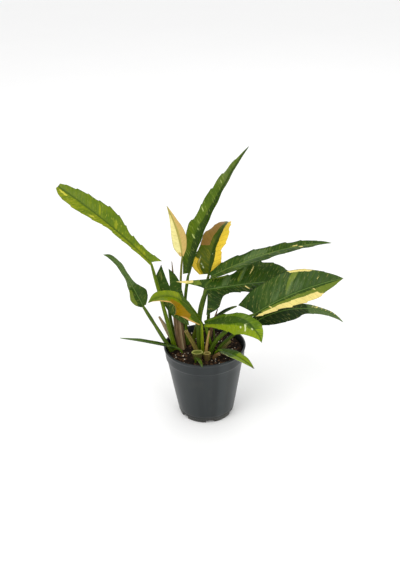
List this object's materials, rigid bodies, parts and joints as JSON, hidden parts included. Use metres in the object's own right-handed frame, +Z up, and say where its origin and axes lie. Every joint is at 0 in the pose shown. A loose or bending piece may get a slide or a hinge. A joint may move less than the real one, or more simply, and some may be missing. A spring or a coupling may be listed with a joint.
{
  "type": "potted philodendron",
  "caption": "Narrow-leaved variegated philodendron with long petioles and cut stubs, in dark potting soil inside a round tapered plastic nursery pot with drain notches.",
  "frame": {"origin": "centre of the pot's flat underside, which rests on the ground", "axes": "+Z up along the pot's axis; -Y is the plant's front; +X is to the right seen from the front, along the longest leaves"},
  "size_m": [0.4119, 0.1553, 0.3959],
  "materials": {
    "pot_plastic": "satin",
    "potting_soil": "matte",
    "leaf_far_left": "satin",
    "leaf_far_left_stalk": "satin",
    "leaf_tall": "satin",
    "leaf_tall_stalk": "satin",
    "leaf_yellow": "satin",
    "leaf_yellow_stalk": "satin",
    "leaf_cream_young": "satin",
    "leaf_cream_young_stalk": "satin",
    "leaf_far_right": "satin",
    "leaf_far_right_stalk": "satin",
    "leaf_broad_right": "satin",
    "leaf_broad_right_stalk": "satin",
    "leaf_centre_right": "satin",
    "leaf_centre_right_stalk": "satin",
    "leaf_low_right": "satin",
    "leaf_low_right_stalk": "satin",
    "leaf_front_left": "satin",
    "leaf_front_left_stalk": "satin",
    "leaf_front_right": "satin",
    "leaf_front_right_stalk": "satin",
    "leaf_left_twisted": "satin",
    "leaf_left_twisted_stalk": "satin",
    "leaf_behind_left": "satin",
    "leaf_behind_left_stalk": "satin",
    "leaf_small_centre": "satin",
    "leaf_small_centre_stalk": "satin",
    "leaf_blade_left": "satin",
    "leaf_blade_left_stalk": "satin",
    "leaf_low_front": "satin",
    "leaf_low_front_stalk": "satin",
    "leaf_tiny_front": "satin",
    "leaf_tiny_front_stalk": "satin",
    "sheath_brown": "matte",
    "stub_tan_left": "matte",
    "petiole_cut": "matte",
    "sheath_tan": "matte",
    "spike_brown": "matte",
    "stem_stump_left": "matte",
    "stem_stump_right": "matte",
    "stub_tan_right": "matte",
    "stub_brown_front": "matte"
  },
  "bodies": {
    "root": {"pot": "pot_plastic", "potting_soil": "potting_soil", "leaf_far_left_blade": "leaf_far_left", "leaf_far_left_petiole": "leaf_far_left_stalk", "leaf_tall_blade": "leaf_tall", "leaf_tall_petiole": "leaf_tall_stalk", "leaf_yellow_blade": "leaf_yellow", "leaf_yellow_petiole": "leaf_yellow_stalk", "leaf_cream_young_blade": "leaf_cream_young", "leaf_cream_young_petiole": "leaf_cream_young_stalk", "leaf_far_right_blade": "leaf_far_right", "leaf_far_right_petiole": "leaf_far_right_stalk", "leaf_broad_right_blade": "leaf_broad_right", "leaf_broad_right_petiole": "leaf_broad_right_stalk", "leaf_centre_right_blade": "leaf_centre_right", "leaf_centre_right_petiole": "leaf_centre_right_stalk", "leaf_low_right_blade": "leaf_low_right", "leaf_low_right_petiole": "leaf_low_right_stalk", "leaf_front_left_blade": "leaf_front_left", "leaf_front_left_petiole": "leaf_front_left_stalk", "leaf_front_right_blade": "leaf_front_right", "leaf_front_right_petiole": "leaf_front_right_stalk", "leaf_left_twisted_blade": "leaf_left_twisted", "leaf_left_twisted_petiole": "leaf_left_twisted_stalk", "leaf_behind_left_blade": "leaf_behind_left", "leaf_behind_left_petiole": "leaf_behind_left_stalk", "leaf_small_centre_blade": "leaf_small_centre", "leaf_small_centre_petiole": "leaf_small_centre_stalk", "leaf_blade_left_blade": "leaf_blade_left", "leaf_blade_left_petiole": "leaf_blade_left_stalk", "leaf_low_front_blade": "leaf_low_front", "leaf_low_front_petiole": "leaf_low_front_stalk", "leaf_tiny_front_blade": "leaf_tiny_front", "leaf_tiny_front_petiole": "leaf_tiny_front_stalk", "sheath_brown": "sheath_brown", "stub_tan_left": "stub_tan_left", "petiole_cut": "petiole_cut", "sheath_tan": "sheath_tan", "spike_brown": "spike_brown", "stem_stump_left": "stem_stump_left", "stem_stump_right": "stem_stump_right", "stub_tan_right": "stub_tan_right", "stub_brown_front": "stub_brown_front"}
  },
  "joints": []
}
